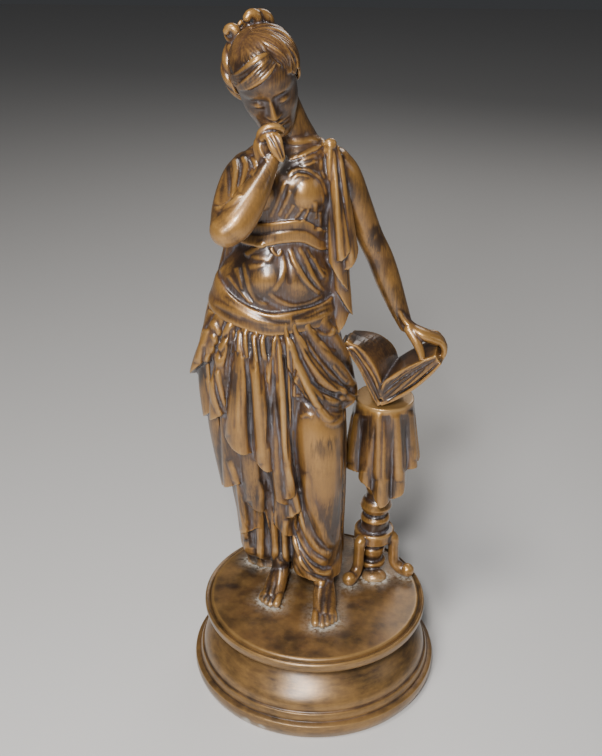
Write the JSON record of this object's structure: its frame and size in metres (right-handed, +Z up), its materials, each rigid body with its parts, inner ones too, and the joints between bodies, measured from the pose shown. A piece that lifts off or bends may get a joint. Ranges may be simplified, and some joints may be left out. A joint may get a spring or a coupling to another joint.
{
  "type": "woman sculpture",
  "caption": "Cast figure of a draped woman in thought, one hand at her lips and the other on an open book lying on a small cloth-covered pedestal table, standing on a round turned plinth.",
  "frame": {"origin": "centre of the plinth's underside, on the surface that it stands on", "axes": "+Z up along the figure, -Y out of the front that the figure and her feet face, +X towards her left hand and the table"},
  "size_m": [0.208, 0.208, 0.5475],
  "materials": {
    "bronze": "dark brown patina rubbed golden on the high spots, satin"
  },
  "bodies": {
    "root": {"statuette": "bronze", "plinth": "bronze"}
  },
  "joints": []
}
